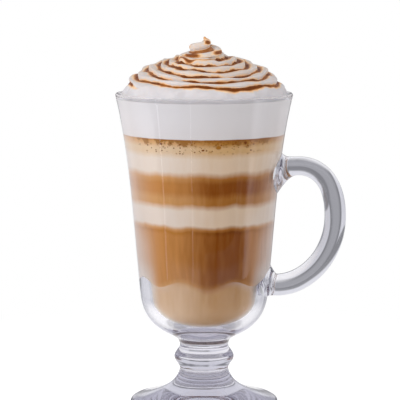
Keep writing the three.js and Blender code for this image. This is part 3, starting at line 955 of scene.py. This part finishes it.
studio = {
    "floorSize": 16.0,
    "floorDrop": 0.2,  # millimetres under the foot, so that the two never mix
    "floorColor": srgb(244, 244, 245),
    "shadowReach": (0.07, 0.24),  # metres from the glass over which the floor turns into plain white
    "floorGlow": 0.5,
    "ambient": 0.52,
    # brightness of what the glass mirrors and bends: backdrop, both sides, the dark room in front, ceiling
    "tone": (0.94, 0.945, 1.0, 1.0),
    "backdrop": (0.44, 0.22),  # middle and borders of the grey card
    "cardShade": (0.05, 0.24),  # distance from its middle over which it darkens
    "rightSide": 0.72,
    "leftSide": 0.78,
    "cardLeft": (-0.06, -0.15),  # where the grey backdrop ends, as a sine
    "cardRight": (0.32, 0.4),
    "sideEnd": (0.74, 0.92),  # where both pale sides dim again
    "sideDim": 0.5,
    "room": 0.13,
    "roomLeft": (-0.5, -0.15),  # where the room turns dark towards the front, on either side
    "roomRight": (-0.68, -0.62),
    "darkFrom": (0.16, 0.3),  # metres from the glass where the floor in front turns dark for it
    "nearFloor": 0.2,  # sine of the direction whose brightness it has nearer by
    "rightFront": 0.5,  # share of the right side's brightness that reaches round to the front
    "ceiling": 0.85,
    "ceilingFront": 0.2,
    "ceilingFrom": (0.09, 0.2),
    "frontFrom": ((0.0, -0.2), (0.45, 0.6)),  # where it dims towards the front, and how high, as sines
    "underGlow": 0.36,
    "paintedShadowRing": ((0.012, 0.016), (0.052, 0.044)),  # metres from the axis of a painted shadow ring on the floor round the foot, seen only in mirrored and bent views
    "horizon": 0.28,  # brightness of the dark strip where floor and backdrop meet
    "horizonFloor": (0.85, 1.2),  # metres from the glass where the floor turns into it
    "horizonEnd": (0.05, 0.12),  # where it ends above, as a sine
    # narrow windows in front, mirrored by the wall: place as a sine, half width, brightness
    "thinLights": ((-0.899, 0.012, 2.6), (-0.31, 0.012, 2.6), (0.955, 0.06, 1.3)),
    # name, azimuth from the front (right is positive), elevation, distance, width, height, radiance
    "boxes": (
        ("keyBox", -50, 20, 0.95, 0.55, 0.75, 4.2),
        ("frontBox", 0, 14, 1.10, 0.90, 0.70, 0.85),
        ("topBox", -10, 78, 0.95, 0.60, 0.60, 0.5),
        ("rightBox", 78, 8, 0.85, 0.45, 0.80, 2.3),
    ),
    "aim": (0.0, 0.0, 0.09),
}


def seenKinds(kit):
    # direct view, and mirrored or bent view that has met no dull surface yet
    path = kit.add("ShaderNodeLightPath").outputs
    bent = kit.math("MAXIMUM", path["Is Glossy Ray"], path["Is Transmission Ray"])
    bent = kit.times(bent, kit.math("LESS_THAN", path["Diffuse Depth"], 0.5))
    return path["Is Camera Ray"], bent


def surroundings(kit, x, y):
    # a grey card behind, pale walls to both sides and a dark room in front
    middle = (studio["cardLeft"][0] + studio["cardRight"][0]) / 2
    fromMiddle = kit.math("ABSOLUTE", kit.math("SUBTRACT", x, middle))
    card = kit.mapRange(fromMiddle, *studio["cardShade"], *studio["backdrop"])
    onSide = kit.math("MULTIPLY_ADD", kit.math("GREATER_THAN", x, middle),
                      studio["rightSide"] - studio["leftSide"], studio["leftSide"])
    off = kit.math("ADD", kit.mapRange(x, *studio["cardRight"]), kit.mapRange(x, *studio["cardLeft"]))
    behind = kit.blend(off, card, onSide)
    dimLeft = kit.mapRange(y, *studio["roomLeft"], studio["room"], 1.0)
    dimRight = kit.mapRange(y, *studio["roomRight"], studio["room"], studio["rightFront"])
    dimRight = kit.math("MAXIMUM", dimRight, dimLeft)
    onRight = kit.math("GREATER_THAN", x, 0.0)
    dim = kit.blend(onRight, dimLeft, dimRight)
    ends = kit.mapRange(kit.math("ABSOLUTE", x), *studio["sideEnd"], 1.0, studio["sideDim"])
    level = kit.times(behind, kit.times(dim, ends))
    inFront = kit.math("LESS_THAN", y, 0.0)
    for place, width, strength in studio["thinLights"]:
        strip = kit.mapRange(kit.math("ABSOLUTE", kit.math("SUBTRACT", x, place)), width, 0.0)
        level = kit.math("MULTIPLY_ADD", kit.times(strip, inFront), strength, level)
    return level


def makeFloor():
    half = studio["floorSize"] / 2
    low = -studio["floorDrop"] * mm
    mesh = bpy.data.meshes.new("floor")
    corners = [(x * half, y * half, low) for x, y in ((-1, -1), (1, -1), (1, 1), (-1, 1))]
    mesh.from_pydata(corners, [], [(0, 1, 2, 3)])
    floor = addObject("floor", mesh)
    material, kit, skin = newMaterial("paleFloor", {
        "Base Color": studio["floorColor"], "Roughness": 0.8, "Specular IOR Level": 0.1,
    })
    spot = kit.add("ShaderNodeTexCoord").outputs["Object"]
    away = kit.add("ShaderNodeVectorMath", {0: spot}, operation="LENGTH").outputs["Value"]
    far = kit.mapRange(away, *studio["shadowReach"])
    camera, bent = seenKinds(kit)
    # painted shadow: a ring round the foot where the floor loses its glow in mirrored and bent views
    ring = kit.times(*(kit.mapRange(away, *ends) for ends in studio["paintedShadowRing"]))
    under = kit.times(kit.math("SUBTRACT", 1.0, ring), studio["underGlow"])
    glow = kit.math("MULTIPLY_ADD", bent, under, kit.times(camera, studio["floorGlow"]))
    kit.fill(skin, {"Emission Color": (1, 1, 1, 1), "Emission Strength": glow})
    sideways, onward = (kit.math("DIVIDE", part, away) for part in kit.split(spot)[:2])
    onward = kit.blend(kit.mapRange(away, *studio["darkFrom"]), studio["nearFloor"], onward)
    distant = kit.mapRange(away, *studio["horizonFloor"])
    level = kit.blend(distant, surroundings(kit, sideways, onward), studio["horizon"])
    plain = kit.add("ShaderNodeEmission", {
        "Color": kit.mix(camera, studio["tone"], (1, 1, 1, 1)),
        "Strength": kit.math("MAXIMUM", camera, level),
    })
    share = kit.times(far, kit.math("MAXIMUM", camera, bent))
    both = kit.add("ShaderNodeMixShader", {0: share, 1: skin.outputs[0], 2: plain.outputs[0]})
    kit.fill(kit.nodes["Material Output"], {"Surface": both.outputs[0]})
    mesh.materials.append(material)


def makeWorld():
    world = bpy.data.worlds.new("studio")
    world.use_nodes = True
    bpy.context.scene.world = world
    kit = NodeKit(world)
    x, y, z = kit.split(kit.add("ShaderNodeTexCoord").outputs["Generated"])
    low = kit.mapRange(z, *studio["horizonEnd"], 1.0, 0.0)
    level = kit.blend(low, surroundings(kit, x, y), studio["horizon"])
    overhead = kit.mapRange(z, *studio["ceilingFrom"])
    frontward, upward = studio["frontFrom"]
    front = kit.times(kit.mapRange(y, *frontward), kit.mapRange(z, *upward))
    ceiling = kit.math("MULTIPLY_ADD", front, studio["ceilingFront"] - studio["ceiling"], studio["ceiling"])
    around = kit.blend(overhead, level, ceiling)
    camera, bent = seenKinds(kit)
    dull = kit.math("SUBTRACT", 1.0, kit.math("MAXIMUM", camera, bent))
    level = kit.math("MULTIPLY_ADD", dull, studio["ambient"], camera)
    kit.fill(kit.nodes["Background"], {
        "Color": kit.mix(bent, (1, 1, 1, 1), studio["tone"]),
        "Strength": kit.math("MULTIPLY_ADD", bent, around, level),
    })


def makeBoxes():
    for name, azimuth, elevation, distance, width, height, radiance in studio["boxes"]:
        a, e = math.radians(azimuth), math.radians(elevation)
        toward = np.array((math.sin(a) * math.cos(e), -math.cos(a) * math.cos(e), math.sin(e)))
        lamp = bpy.data.lights.new(name, "AREA")
        lamp.shape = "RECTANGLE"
        lamp.size = width
        lamp.size_y = height
        lamp.energy = radiance * math.pi * width * height
        box = addObject(name, lamp)
        box.location = studio["aim"] + toward * distance
        box.rotation_euler = (math.pi / 2 - e, 0, a)
        box.visible_glossy = False  # the glass mirrors the painted studio instead
        box.visible_transmission = False


makeFloor()
makeWorld()
makeBoxes()
print("studio done")


# camera, fitted to the rim, the sides and the heel of the glass in the picture

lens = {"distance": 890.0, "height": 208.7, "side": -1.83, "pitch": 7.39, "focal": 180.9}
eye = addObject("eye", bpy.data.cameras.new("eye"))
eye.data.sensor_width = 36.0
eye.data.lens = lens["focal"]
eye.location = (lens["side"] * mm, -lens["distance"] * mm, lens["height"] * mm)
eye.rotation_euler = (math.pi / 2 - math.radians(lens["pitch"]), 0, 0)
scene = bpy.context.scene
scene.camera = eye
scene.view_settings.view_transform = "Standard"
# solid glass turns light round many times before it comes out
scene.cycles.max_bounces = 24
scene.cycles.glossy_bounces = 16
scene.cycles.transmission_bounces = 16

print("all pieces in place")
